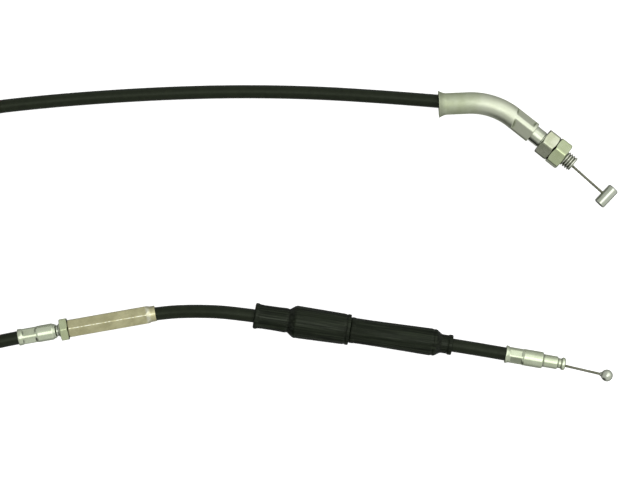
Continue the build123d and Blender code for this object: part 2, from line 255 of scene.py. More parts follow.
def capped(name, axis, outline, material, painted_shade, segments=SEGMENTS):
    """A solid turned piece: an open outline from axis to axis. The function of station that it is given sets its
    painted shade.
    """
    inner = [Vector(p) for p in outline[1:-1]]
    vertices = [(outline[0][0] * MM, 0, 0)]
    for station, radius in inner:
        for k in range(segments):
            angle = 2 * math.pi * k / segments
            vertices.append((station * MM, radius * MM * math.sin(angle), radius * MM * math.cos(angle)))
    vertices.append((outline[-1][0] * MM, 0, 0))
    faces = [(0, 1 + (k + 1) % segments, 1 + k) for k in range(segments)]
    faces += [tuple(v + 1 for v in reversed(f)) for f in loop_faces(len(inner), segments, False)]
    last = 1 + (len(inner) - 1) * segments
    faces += [(len(vertices) - 1, last + k, last + (k + 1) % segments) for k in range(segments)]
    shade_and_shine = [painted_shade(v[0] / MM) for v in vertices]
    obj = mesh_object(name, vertices, faces, axis.matrix, material, shade_and_shine)
    weigh_normals(obj)
    return obj


def place(piece, body, slot, *nodes):
    """Rides a piece on its body and lets it stand for its CAD nodes."""
    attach(piece, body)
    if nodes:
        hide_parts(*nodes)


# ---------------------------------------------------------------- materials
class Shader:
    """A small wrapper for building one node material."""

    def __init__(self, name):
        self.material = bpy.data.materials.new(name)
        self.material.use_nodes = True
        self.nodes = self.material.node_tree.nodes
        self.links = self.material.node_tree.links
        self.shader = self.nodes["Principled BSDF"]
        self.coordinates = self.nodes.new("ShaderNodeTexCoord").outputs["Object"]

    def link(self, output, node, socket):
        self.links.new(output, node.inputs[socket])

    def stretch(self, scale):
        """Object coordinates in millimetres, scaled along each axis."""
        mapping = self.nodes.new("ShaderNodeMapping")
        mapping.inputs["Scale"].default_value = [s / MM for s in scale]
        self.link(self.coordinates, mapping, "Vector")
        return mapping.outputs["Vector"]

    def noise(self, scale, detail=3.0, roughness=0.5, distortion=0.0):
        node = self.nodes.new("ShaderNodeTexNoise")
        self.link(self.stretch(scale), node, "Vector")
        node.inputs["Scale"].default_value = 1.0
        node.inputs["Detail"].default_value = detail
        node.inputs["Roughness"].default_value = roughness
        node.inputs["Distortion"].default_value = distortion
        return node.outputs["Fac"]

    def ramp(self, factor, stops):
        """Colours at (position, colour) stops."""
        node = self.nodes.new("ShaderNodeValToRGB")
        self.link(factor, node, "Fac")
        elements = node.color_ramp.elements
        while len(elements) < len(stops):
            elements.new(0.5)
        for element, (position, colour) in zip(elements, stops):
            element.position = position
            element.color = (*colour, 1)
        return node.outputs["Color"]

    def span(self, factor, low, high, start=0.3, end=0.7):
        """Runs from low to high as the factor runs from start to end."""
        node = self.nodes.new("ShaderNodeMapRange")
        self.link(factor, node, "Value")
        for socket, value in (("From Min", start), ("From Max", end), ("To Min", low), ("To Max", high)):
            node.inputs[socket].default_value = value
        return node.outputs["Result"]

    def mix(self, factor, a, b, blend="MIX"):
        """Blends two colours, each a tuple or an output. 6, 7 and 2 are the node's colour sockets."""
        node = self.nodes.new("ShaderNodeMix")
        node.data_type = "RGBA"
        node.blend_type = blend
        for value, index in ((factor, 0), (a, 6), (b, 7)):
            if isinstance(value, (int, float)):
                node.inputs[index].default_value = value
            elif isinstance(value, tuple):
                node.inputs[index].default_value = (*value, 1)
            else:
                self.links.new(value, node.inputs[index])
        return node.outputs[2]

    def facing(self):
        """A layer weight: 0 where the surface is met square on, 1 where it is grazed."""
        return self.nodes.new("ShaderNodeLayerWeight").outputs["Facing"]

    def shade_and_shine(self):
        """The mesh's own attribute of painted light: 1 is painted shade, 0 none and -1 a painted highlight on
        bright bare metal. Without it a mesh has none.
        """
        node = self.nodes.new("ShaderNodeAttribute")
        node.attribute_name = "shade_and_shine"
        return node.outputs["Fac"]

    def bump(self, height, distance_mm, strength=1.0):
        """Adds a bump on top of any that the shader already has."""
        node = self.nodes.new("ShaderNodeBump")
        node.inputs["Strength"].default_value = strength
        node.inputs["Distance"].default_value = distance_mm * MM
        self.link(height, node, "Height")
        if self.shader.inputs["Normal"].is_linked:
            self.links.new(self.shader.inputs["Normal"].links[0].from_socket, node.inputs["Normal"])
        self.link(node.outputs["Normal"], self.shader, "Normal")

    def set(self, **values):
        """Sets the shader's sockets, by their names in lower case, to numbers, colours or outputs."""
        for key, value in values.items():
            socket = {"specular": "Specular IOR Level"}.get(key, key.replace("_", " ").title())
            if isinstance(value, (int, float)):
                self.shader.inputs[socket].default_value = value
            elif isinstance(value, tuple):
                self.shader.inputs[socket].default_value = (*value, 1)
            else:
                self.link(value, self.shader, socket)


SHADE_TONE = 0.16                # brightness of the painted shade, against the dark tint
# The bright tint is a painted highlight on bare metal, and on the barrel's ridges partly real wear.
HIGHLIGHT_AND_WEAR_METAL = (0.93, 0.95, 0.82)
BARE_GLOSS = (0.14, 0.14, 0.14)


def plated(name, light, dark, rough, grain, tarnish=0.35):
    """Zinc-plated steel: a tint that clouds over, drawn lines, smudged gloss, and the mesh's own painted shade and
    highlights.

    rough is the range of roughness, and grain the drawn lines' frequency along each local axis, per mm.
    """
    s = Shader(name)
    clouds = s.noise((0.22, 0.22, 0.22), 4, 0.55)
    lines = s.noise(grain, 5, 0.6)
    base = s.ramp(clouds, [(0.35, dark), (0.62, light)])
    fine = s.ramp(lines, [(0.3, tuple(c * (1 - tarnish * 0.4) for c in light)), (0.65, light)])
    worked = s.mix(0.4, base, fine, "MULTIPLY")
    # Painted shade darkens the metal in its hollows and gaps; painted highlights turn it towards the bright tint
    # and gloss it.
    shaded = s.mix(s.shade_and_shine(), worked, tuple(c * SHADE_TONE for c in dark))
    wear_and_shine = s.span(s.shade_and_shine(), 1.0, 0.0, -1.0, 0.0)
    gloss = s.span(s.noise((0.5, 0.9, 0.9), 4, 0.6), *rough)
    s.set(metallic=1.0, base_color=s.mix(wear_and_shine, shaded, HIGHLIGHT_AND_WEAR_METAL), roughness=s.mix(wear_and_shine, gloss, BARE_GLOSS))
    s.bump(lines, 0.02, 0.6)
    s.bump(s.noise((2.2, 2.2, 2.2), 2, 0.5), 0.02, 0.35)
    return s.material


SHEATH_SHEEN = (0.88, 1.0, 0.74)
RUBBER_SHEEN = (0.86, 1.0, 0.72)


def sheath_material(name):
    """Black extruded sheath: a soft sheen and a slight mottle."""
    s = Shader(name)
    mottle = s.noise((0.5, 0.5, 0.5), 4, 0.6)
    s.set(base_color=s.ramp(mottle, [(0.3, (0.003, 0.005, 0.002)), (0.7, (0.008, 0.012, 0.005))]))
    s.set(roughness=s.span(s.noise((1.2, 1.2, 1.2), 3, 0.55), 0.30, 0.42), specular=0.28)
    s.set(specular_tint=SHEATH_SHEEN)
    s.bump(s.noise((3.5, 3.5, 3.5), 3, 0.6), 0.03, 0.35)
    return s.material


def rubber_material(name):
    """Moulded rubber: fine grain, a trace of bloom, and long rub marks that are glossier, with a painted sheen
    that lightens them.
    """
    s = Shader(name)
    bloom = s.noise((0.18, 0.3, 0.3), 5, 0.62)
    rubs_and_sheen = s.noise((0.04, 1.9, 1.9), 4, 0.6)
    blacks = [(0.3, (0.001, 0.002, 0.001)), (0.55, (0.003, 0.005, 0.002)), (0.8, (0.008, 0.012, 0.005))]
    black = s.ramp(bloom, blacks)
    # The rub marks' lighter colour is a painted sheen; the near-black after it is painted shade in hollows, such
    # as the gap between the boots.
    wear_and_shine = s.mix(s.span(rubs_and_sheen, 0.0, 0.5, 0.46, 0.7), black, (0.024, 0.036, 0.014))
    s.set(base_color=s.mix(s.shade_and_shine(), wear_and_shine, (0.0015, 0.002, 0.001)))
    s.set(roughness=s.span(rubs_and_sheen, 0.46, 0.26), specular=s.span(s.facing(), 0.18, 0.03, 0.1, 0.8))
    s.set(coat_weight=s.span(rubs_and_sheen, 0.02, 0.32, 0.42, 0.66), coat_roughness=0.22)
    s.set(specular_tint=RUBBER_SHEEN)
    s.bump(s.noise((7, 7, 7), 3, 0.6), 0.03, 0.5)
    s.bump(rubs_and_sheen, 0.25, 0.6)
    s.bump(s.noise((0.4, 0.8, 0.8), 2, 0.5), 0.2, 0.4)
    return s.material


def plastic_material(name, colour, rough):
    """Plain moulded plastic."""
    s = Shader(name)
    tint = s.noise((0.6, 0.6, 0.6), 3, 0.5)
    s.set(base_color=s.ramp(tint, [(0.3, tuple(c * 0.85 for c in colour)), (0.7, colour)]))
    s.set(roughness=s.span(s.noise((2, 2, 2), 3, 0.5), rough - 0.06, rough + 0.08))
    s.bump(s.noise((5, 5, 5), 2, 0.5), 0.01, 0.4)
    return s.material


# What plated() takes: light and dark tints, range of roughness, grain, and for the barrel its tarnish.
PLATINGS = {
    "elbow_steel": ((0.69, 0.74, 0.58), (0.60, 0.65, 0.47), (0.46, 0.60), (0.2, 4, 4)),
    "stud_steel": ((0.74, 0.78, 0.66), (0.56, 0.59, 0.47), (0.14, 0.24), (5, 0.5, 0.5)),
    "nut_steel": ((0.72, 0.79, 0.56), (0.64, 0.71, 0.46), (0.18, 0.30), (5, 0.7, 0.7)),
    "ferrule_steel": ((0.80, 0.86, 0.69), (0.68, 0.74, 0.56), (0.13, 0.22), (4, 0.8, 0.8)),
    "bare_nut_steel": ((0.70, 0.73, 0.59), (0.54, 0.57, 0.42), (0.14, 0.24), (5, 0.7, 0.7)),
    "barrel_steel": ((0.80, 0.78, 0.52), (0.62, 0.60, 0.38), (0.30, 0.46), (1.2, 2.4, 2.4), 0.9),
    "jam_nut_steel": ((0.76, 0.83, 0.58), (0.66, 0.72, 0.48), (0.20, 0.32), (4, 1, 1)),
    "wire_steel": ((0.42, 0.43, 0.34), (0.28, 0.29, 0.21), (0.28, 0.42), (3, 3, 3)),
    "nipple_zinc": ((0.78, 0.82, 0.72), (0.66, 0.70, 0.59), (0.12, 0.22), (0.4, 4, 4)),
    "winding_steel": ((0.50, 0.50, 0.50), (0.36, 0.36, 0.36), (0.3, 0.45), (4, 1, 1)),
}
MATERIALS = {name: plated(name, *look) for name, look in PLATINGS.items()}
MATERIALS["sheath"] = sheath_material("sheath")
MATERIALS["boot_rubber"] = rubber_material("boot_rubber")
MATERIALS["liner_plastic"] = plastic_material("liner_plastic", (0.78, 0.77, 0.70), 0.4)
MATERIALS["tie_nylon"] = plastic_material("tie_nylon", (0.012, 0.013, 0.012), 0.38)


def dress_frame():
    """Gives every CAD node that stays its own slot's material."""
    slots = {s["node"]: s["material_slot"] for s in frame["record"]["subparts"]}
    for node, obj in frame["nodes"].items():
        obj.data.materials.clear()
        obj.data.materials.append(MATERIALS[slots[node]])


dress_frame()


# ---------------------------------------------------------------- elbow
ELBOW_IN, ELBOW_OUT, ELBOW_BEND_R = 20.47, 18.65, 25.5   # mouth to corner, corner to end
ELBOW_R, ELBOW_BORE_R = 4.05, 3.45
FLARE_RISE, FLARE_L = 1.05, 2.8
CRIMP_L, CRIMP_HALF, CRIMP_SLANT = 8.8, 3.4, 1.2
SHANK_R = 3.2              # the stud's shank, which fills the crimped end's bore


def elbow_path(step=0.16):
    """Points along the elbow's centreline, millimetres from its mouth, with their left directions."""
    start, end = AXES["elbow"], AXES["stud"]
    turn = start.along.angle(end.along)
    tangent = ELBOW_BEND_R * math.tan(turn / 2)
    straight_in, straight_out = ELBOW_IN - tangent, ELBOW_OUT - tangent
    bend = ELBOW_BEND_R * turn
    total = straight_in + bend + straight_out
    centre = start.at(straight_in) - start.left * ELBOW_BEND_R * MM
    out = []
    count = math.ceil(total / step)
    for i in range(count + 1):
        s = total * i / count
        if s <= straight_in:
            point, left = start.at(s), start.left
        elif s <= straight_in + bend:
            a = (s - straight_in) / ELBOW_BEND_R
            left = Matrix.Rotation(-a, 3, "Z") @ start.left
            point = centre + left * ELBOW_BEND_R * MM
        else:
            point, left = end.at(s - total), end.left
        out.append((s, point, left))
    return out, total


def smooth_step(value, start, end):
    """0 up to start, 1 from end on, and a smooth rise between them."""
    t = min(max((value - start) / (end - start), 0.0), 1.0)
    return t * t * (3 - 2 * t)


def flats(half, angles, blend):
    """The radius, by angle, that is left by flats pressed at these angles, each this far from the axis."""

    def radius(angle):
        r = 99.0
        for middle in angles:
            c = math.cos(angle - math.radians(middle))
            if c > 0.2:
                r = soft_min(r, half / c, blend)
        return r

    return radius


def elbow():
    """The bent tube: a flared mouth, and flats crimped on the stud that stop short of a lip on one side."""
    path, total = elbow_path()
    upper = flats(CRIMP_HALF, (56, 146), 0.12)
    lower = flats(CRIMP_HALF, (326, 236), 0.12)
    start = total - CRIMP_L

    def outer(s, angle):
        r = ELBOW_R + FLARE_RISE * max(0.0, 1 - s / FLARE_L) ** 1.7
        slant = CRIMP_SLANT * math.sin(angle)
        depth = smooth_step(s, start - slant, start - slant + 0.4)
        if depth > 0:
            lip = 1 - smooth_step(s, total - 1.3, total - 1.0)
            r += (soft_min(r, upper(angle), 0.1) - r) * depth * lip
            r += (soft_min(r, lower(angle), 0.1) - r) * depth
        return r - 0.15 * smooth_step(s, total - 0.2, total)

    def inner(s, angle):
        if s >= total - CRIMP_L - 0.7:
            return SHANK_R
        return ELBOW_BORE_R + 1.2 * max(0.0, 1 - s / 2.6) ** 1.7

    rings = [(s, p, left, outer) for s, p, left in path]
    rings += [(s, p, left, inner) for s, p, left in reversed(path)]
    angles = [2 * math.pi * k / SEGMENTS for k in range(SEGMENTS)]
    stations = [s for s, _, _, _ in rings]
    radii = [[radius(s, a) for a in angles] for s, _, _, radius in rings]
    vertices = [
        point + (left * math.sin(a) + Vector((0, 0, math.cos(a)))) * r * MM
        for (_, point, left, _), row in zip(rings, radii) for r, a in zip(row, angles)
    ]
    # Painted shade in the hollows, less a painted highlight, with smoother gloss, that grows towards the bend.
    shade_and_shine = hollows(stations, radii, 0.9)
    bend_highlight = np.array([0.34 * smooth_step(s, 9, 20) for s in stations])
    obj = mesh_object("elbow", vertices, loop_faces(len(rings), SEGMENTS, True), Matrix(),
                      MATERIALS["elbow_steel"], shade_and_shine - bend_highlight[:, None])
    weigh_normals(obj)
    place(obj, "root", "elbow_steel", "elbow_tube")


elbow()


# ---------------------------------------------------------------- stud and nuts
def thread(start, end, root, crest, pitch, fade=0.7):
    """A limit that cuts a right-hand thread between two stations."""

    def limit(station, radius, angle):
        if radius < root or not start - 0.2 <= station <= end + 0.2:
            return radius
        turn = (station / pitch - angle / (2 * math.pi)) % 1.0
        wave = min(1.0, max(0.0, (abs(turn - 0.5) * 2 - 0.26) / 0.6))
        cut = smooth_step(station, start, start + fade) * (1 - 0.5 * smooth_step(station, end - fade, end))
        return min(radius, crest - (crest - root) * wave * cut)

    return limit


def stud():
    """A hollow M6 stud: a plain shank, then thread, its crests painted bright as a highlight."""
    bore_r, thread_r, shank_end, end = 1.6, 3.0, 4.5, 19.17
    outline = [
        (-CRIMP_L, bore_r), (-CRIMP_L, SHANK_R), (shank_end, SHANK_R), (shank_end, thread_r),
        (end - 0.42, thread_r), (end, 2.62), (end, bore_r),
    ]

    # Painted highlight, with smoother gloss, on the thread's crests.
    def highlight_and_wear(station, radius, angle):
        return 0.8 if station > shank_end + 0.1 and radius > thread_r - 0.1 else 0.0

    obj = turned("stud", AXES["stud"], outline, MATERIALS["stud_steel"], highlight_and_wear=highlight_and_wear, hollow_shade=0.6,
                 limit=thread(4.4, 19.0, 2.42, thread_r, 1.0), step=0.09)
    place(obj, "root", "stud_steel", "threaded_stud")


def nut(name, axis, start, length, across_flats, bore, slot, body, node, turn=0.0, material=None):
    """A chamfered nut, with a corner this many degrees round from up."""
    corner, flat = across_flats / math.sqrt(3), across_flats / 2
    rise = (corner - flat) * math.tan(NUT_CHAMFER)
    end = start + length
    outline = [
        (start, bore + 0.35), (start, flat * 0.97), (start + rise, corner + 0.1),
        (end - rise, corner + 0.1), (end, flat * 0.97), (end, bore + 0.35),
        (end - 0.35, bore), (start + 0.35, bore),
    ]
    shape = hexagon(across_flats, 0.1, math.radians(-turn))

    def limit(station, radius, angle):
        return soft_min(radius, shape(angle), 0.05) if radius > flat * 0.8 else radius

    # Painted shade along the end edges of the flats, for the gaps beside the next parts.
    def painted_shade(station, radius, angle):
        edge = min(station - start, end - station)
        return 0.55 * (1 - smooth_step(edge, 0.02, 0.2)) if radius > flat * 0.9 else 0.0

    obj = turned(name, axis, outline, MATERIALS[material or slot], limit=limit, rounding=0.06, step=0.16,
                 segments=192, painted_shade=painted_shade)
    place(obj, body, slot, node)


stud()
nut("inner_lock_nut", AXES["stud"], 4.55, LOCK_NUT_L, LOCK_NUT_AF, LOCK_NUT_BORE_R,
    "nut_steel", "inner_lock_nut", "lock_nut_inner", turn=-6, material="bare_nut_steel")
nut("outer_lock_nut", AXES["stud"], 9.8, LOCK_NUT_L, LOCK_NUT_AF, LOCK_NUT_BORE_R,
    "nut_steel", "outer_lock_nut", "lock_nut_outer", turn=5)


# ---------------------------------------------------------------- stranded wire and nipples
def strands(name, axis, start, end, body, node):
    """A 1 x 7 wire: six strands laid round a core, with painted shade between them."""
    strand_r, lay = WIRE_R / 3 * 1.03, 8.5
    step, sides = 0.3, 10
    vertices, faces, shade_and_shine = [], [], []

    def add(offset_r, phase):
        """One strand, a straight rod when its offset is 0."""
        steps = max(2, math.ceil((end - start) / step)) if offset_r else 2
        slope = offset_r * 2 * math.pi / lay
        first = len(vertices)
        for i in range(steps + 1):
            s = start + (end - start) * i / steps
            a = phase + 2 * math.pi * s / lay
            centre = Vector((s, offset_r * math.sin(a), offset_r * math.cos(a)))
            along = Vector((1, slope * math.cos(a), -slope * math.sin(a))).normalized()
            side = along.cross(Vector((0, math.sin(a + 0.7), math.cos(a + 0.7)))).normalized()
            other = along.cross(side)
            for k in range(sides):
                b = 2 * math.pi * k / sides
                point = centre + (side * math.cos(b) + other * math.sin(b)) * strand_r
                vertices.append(point * MM)
                # Painted shade on the strands' inner sides, where they touch.
                shade_and_shine.append(0.9 * (1 - smooth_step(math.hypot(point.y, point.z), 0.38, 0.47)))
        faces.extend(tuple(first + v for v in f) for f in loop_faces(steps + 1, sides, False))
        faces.append(tuple(first + k for k in range(sides)))
        faces.append(tuple(first + steps * sides + k for k in reversed(range(sides))))

    add(0.0, 0.0)
    for k in range(6):
        add(WIRE_R - strand_r, k * math.pi / 3)
    obj = mesh_object(name, vertices, faces, axis.matrix, MATERIALS["wire_steel"], shade_and_shine)
    place(obj, body, "wire_steel", node)


def barrel_nipple():
    half, r = 4.125, 2.25
    edge = [(half, r - 0.5), (half - 0.06, r - 0.4), (half - 0.36, r - 0.05), (half - 0.48, r)]
    outline = [(-half, 0)] + [(-s, y) for s, y in edge] + edge[::-1] + [(half, 0)]
    # Painted shade on the chamfers at both ends.
    obj = capped("barrel_end", AXES["nipple"], outline, MATERIALS["nipple_zinc"],
                 lambda station: 0.7 * smooth_step(abs(station), half - 0.45, half - 0.2))
    place(obj, "throttle_wire", "nipple_zinc", "barrel_nipple")


def ball_nipple():
    """A ball on a small collar, which the wire goes into."""
    centre, r, steps = LOWER_WIRE_REACH, 2.25, 40
    face = centre - r
    outline = [(face - 0.45, 0), (face - 0.45, 0.62), (face - 0.3, 0.78), (face + 0.12, 0.84)]
    for i in range(5, steps + 1):
        a = math.pi * i / steps
        outline.append((centre - r * math.cos(a), r * math.sin(a)))
    neck = face + 0.1
    # Painted shade in the crease where the collar meets the ball.
    obj = capped("ball_end", AXES["end_wire"], outline, MATERIALS["nipple_zinc"],
                 lambda station: 0.7 * (1 - smooth_step(abs(station - neck), 0.05, 0.3)))
    place(obj, "carburettor_wire", "nipple_zinc", "ball_nipple")


WIRE_TAIL = 12.5           # how far each wire reaches back inside its fitting
strands("throttle_strands", AXES["throttle_wire"], -WIRE_TAIL, 15.1, "throttle_wire", "inner_wire_upper")
strands("carburettor_strands", AXES["end_wire"], -WIRE_TAIL, 14.2, "carburettor_wire", "inner_wire_lower")
barrel_nipple()
ball_nipple()


# ---------------------------------------------------------------- adjuster, and the end ferrule
def pockets(start, end, half, angles, ramp=0.3):
    """A limit that presses flat pockets between two stations."""
    pressed = flats(half, angles, 0.08)

    def limit(station, radius, angle):
        depth = smooth_step(station, start, start + ramp) * (1 - smooth_step(station, end - ramp, end))
        if depth <= 0 or radius < half * 0.95:
            return radius
        return radius + (soft_min(radius, pressed(angle), 0.08) - radius) * depth

    return limit


def adjuster():
    """The crimped ferrule, the hollow screw that it holds, and the jam nut."""
    axis = AXES["adjuster"]
    outline = [
        (0, 2.56), (0, 3.05), (0.35, 3.12), (1.3, 3.1), (1.9, 2.93), (7.05, 2.93), (7.5, 3.08),
        (13.0, 3.08), (13.7, 2.7), (13.95, 2.72), (14.55, 2.3), (14.55, 2.12), (8.0, 2.12), (8.0, 2.56),
    ]
    obj = turned("crimped_ferrule", axis, outline, MATERIALS["ferrule_steel"],
                 limit=pockets(1.7, 7.0, 2.6, (33, 135, 213, 317)), rounding=0.14, step=0.2)
    place(obj, "root", "ferrule_steel", "adjuster_ferrule")

    outline = [
        (8.05, 1.3), (8.05, 2.05), (15.2, 2.05), (15.5, 2.45), (35.6, 2.5), (35.95, 2.1), (35.95, 1.3),
    ]
    obj = turned("screw", axis, outline, MATERIALS["stud_steel"], rounding=0.06, step=0.08, segments=64,
                 limit=thread(15.3, 35.8, 2.06, 2.5, 0.8), hollow_shade=0.6)
    place(obj, "root", "stud_steel", "adjuster_screw")

    nut("thin_jam_nut", axis, 15.95, 2.95, JAM_NUT_AF, 2.55,
        "jam_nut_steel", "adjuster_jam_nut", "jam_nut")


def barrel(name, axis, body, node):
    """A long tapped hexagon with a collar. Its stations count from the mouth of its screw's ferrule."""
    start, bore_r, thread_end, seat, end = 18.95, 2.55, 38.0, 39.95, 52.05
    shape = hexagon(BARREL_AF, 0.09)

    def limit(station, radius, angle):
        return soft_min(radius, shape(angle), 0.1) if radius > 3.05 else radius

    def highlight_and_wear(station, radius, angle):
        """Ridges bright in dashes, partly real wear and partly a painted highlight, and a painted highlight on the
        turned run-out at the collar.
        """
        off_ridge = abs((math.degrees(angle) + 30) % 60 - 30)
        dashes = 0.5 + 0.5 * math.sin(2.9 * station + 2 * math.sin(1.3 * station))
        ridge = max(0.0, 1 - off_ridge / 3.2) * dashes
        collar = 0.5 * (1 - smooth_step(abs(station - 49.4), 0.3, 1.1))
        return max(ridge, collar) if radius > 2.8 else 0.0

    # Painted shadow at the barrel's start, where the jam nut meets it.
    def painted_shade(station, radius, angle):
        return 0.7 * (1 - smooth_step(station, start + 0.05, start + 0.55))

    outline = [
        (start, 2.9), (start, 3.3), (start + 0.35, 3.9), (47.95, 3.9), (49.8, 3.05), (50.3, 2.95),
        (end, 2.95), (end, 2.62), (seat, 2.62), (seat, 1.5), (thread_end, 1.5), (thread_end, bore_r),
        (start + 0.3, bore_r),
    ]
    obj = turned(name, axis, outline, MATERIALS["barrel_steel"], limit=limit, rounding=0.1, step=0.25,
                 segments=192, painted_shade=painted_shade, highlight_and_wear=highlight_and_wear)
    place(obj, body, "barrel_steel", node)


def end_ferrule():
    """The carburettor end: a crimped rim, a plain body, and a pin with a groove near its tip."""
    rim, tip = 16.2, 38.9
    outline = [
        (rim, 2.75), (rim, 3.25), (rim + 0.25, 3.36), (rim + 0.7, 3.25), (rim + 1.4, 2.95),
        (rim + 6.5, 2.95), (rim + 7.0, 3.1), (rim + 13.9, 3.1), (rim + 14.4, 2.42), (tip - 3.1, 2.4),
        (tip - 2.75, 1.88), (tip - 1.6, 1.88), (tip - 1.3, 2.38), (tip - 0.4, 2.38), (tip, 1.9),
        (tip, 1.35), (rim + 12.5, 1.35), (rim + 12.5, 2.56), (rim + 0.8, 2.56),
    ]

    def painted_shade(station, radius, angle):
        """One pocket gets painted shade that the rest don't."""
        into = smooth_step(station, rim + 1.7, rim + 2.1)
        out = 1 - smooth_step(station, rim + 5.8, rim + 6.3)
        return 0.55 * into * out * (1 - smooth_step(abs(math.degrees(angle) - 325), 18, 26))

    obj = turned("crimped_end", AXES["end"], outline, MATERIALS["ferrule_steel"], painted_shade=painted_shade, hollow_shade=0.6,
                 limit=pockets(rim + 1.5, rim + 6.4, 2.72, (22, 145, 205, 325)), rounding=0.16, step=0.2)
    place(obj, "end_run", "ferrule_steel", "end_ferrule")


adjuster()
barrel("long_barrel", AXES["adjuster"], "adjuster_barrel", "hex_barrel")
barrel("hidden_barrel", AXES["joiner"], "boot_barrel", "joiner_barrel")
end_ferrule()


# ---------------------------------------------------------------- rubber boot
def boots():
    """The left boot, and the right one whose end goes inside it."""
    axis = AXES["boot"]
    outline = [
        (2.4, 3.65), (2.35, 4.35), (2.75, 4.88), (3.5, 4.86), (4.3, 4.55), (6.0, 4.45), (11.0, 4.5),
        (14.5, 4.62), (15.0, 4.40), (15.4, 4.42), (15.8, 4.78), (17.2, 5.78), (17.9, 6.12), (18.8, 6.06),
        (24.0, 5.98), (36.3, 5.76), (36.7, 5.56), (36.95, 5.56), (37.3, 5.80), (38.2, 5.76), (38.4, 5.6),
        (38.4, 5.0), (18.6, 4.95), (15.6, 3.4), (4.2, 3.3),
    ]
    obj = turned("left_boot", axis, outline, MATERIALS["boot_rubber"], rounding=0.25, step=0.4)
    place(obj, "left_boot", "boot_rubber", "boot_left")
    outline = [
        (35.0, 4.1), (35.0, 4.6), (38.3, 4.62), (38.8, 4.86), (39.9, 4.86), (40.4, 4.74), (45.0, 4.72),
        (52.0, 4.8), (62.0, 4.98), (69.0, 5.1), (69.5, 4.9), (69.8, 4.9), (70.2, 5.04), (70.9, 4.86),
        (72.4, 3.78), (73.0, 3.5), (75.3, 3.5), (75.7, 3.8), (76.8, 3.8), (77.05, 3.6), (77.05, 3.05),
        (72.7, 3.0), (70.6, 4.1),
    ]
    obj = turned("right_boot", axis, outline, MATERIALS["boot_rubber"], rounding=0.25, step=0.4)
    place(obj, "right_boot", "boot_rubber", "boot_right")


boots()


# ---------------------------------------------------------------- conduit
def spline(name, points, radius, material):
    """A round NURBS tube of order 3 through control points in metres."""
    curve = bpy.data.curves.new(name, "CURVE")
    curve.dimensions = "3D"
    curve.resolution_u = 12
    curve.bevel_depth = radius * MM
    curve.bevel_resolution = 10
    curve.use_fill_caps = True
    line = curve.splines.new("NURBS")
    line.points.add(len(points) - 1)
    for point, place_at in zip(line.points, points):
        point.co = (*place_at, 1)
    line.order_u = 3
    line.use_endpoint_u = True
    obj = bpy.data.objects.new(name, curve)
    bpy.context.collection.objects.link(obj)
    curve.materials.append(material)
    return obj


def in_metres(points):
    return [tuple(c * MM for c in p) for p in points]


COIL_CENTRE = (-156.55, -18.2)
COIL_STEP = 27.2
COIL_FIRST, COIL_LAST = 160.0, 991.0
COIL_CUT = (3 + math.cos(math.radians(COIL_STEP))) / 4   # how far the spline runs inside its points


def coil():
    """The put-away turns: an outer turn, an inner one beside it, and the rest in the groove on top."""
    points = []
    count = round((COIL_LAST - COIL_FIRST) / COIL_STEP)
    for i in range(count + 1):
        angle = COIL_FIRST + (COIL_LAST - COIL_FIRST) * i / count
        inward = smooth_step(angle, 430, 520)
        onto = smooth_step(angle, 790, 880)
        r = (32.5 - 5.0 * inward + 2.5 * onto) / COIL_CUT
        a = math.radians(angle)
        x, y = COIL_CENTRE[0] + r * math.cos(a), COIL_CENTRE[1] + r * math.sin(a)
        points.append((x, y, 3.6 + 4.4 * onto))
    return in_metres(points)


def long_conduit():
    run = in_metres([
        (28.95, 52.0, 4.7),
        (-9.05, 54.3, 2.9),
        (-49.05, 54.15, 2.5),
        (-94.05, 51.45, 2.5),
        (-134.05, 47.0, 2.5),
        (-162.05, 35.8, 2.6),
        (-180.25, 11.7, 3.0),
    ])
    hump = in_metres([(-141.0, -44.95, 9.5), (-133.0, -42.75, 9.3)])
    ends = AXES["elbow"].at(8.65), AXES["adjuster"].at(-7.15), AXES["adjuster"].at(7.9)
    points = [tuple(ends[0])] + run + coil() + hump + [tuple(ends[1]), tuple(ends[2])]
    obj = spline("long_conduit", points, CONDUIT_R, MATERIALS["sheath"])
    place(obj, "root", "sheath", "conduit_upper_run", "conduit_coil", "conduit_return_run")
    return obj


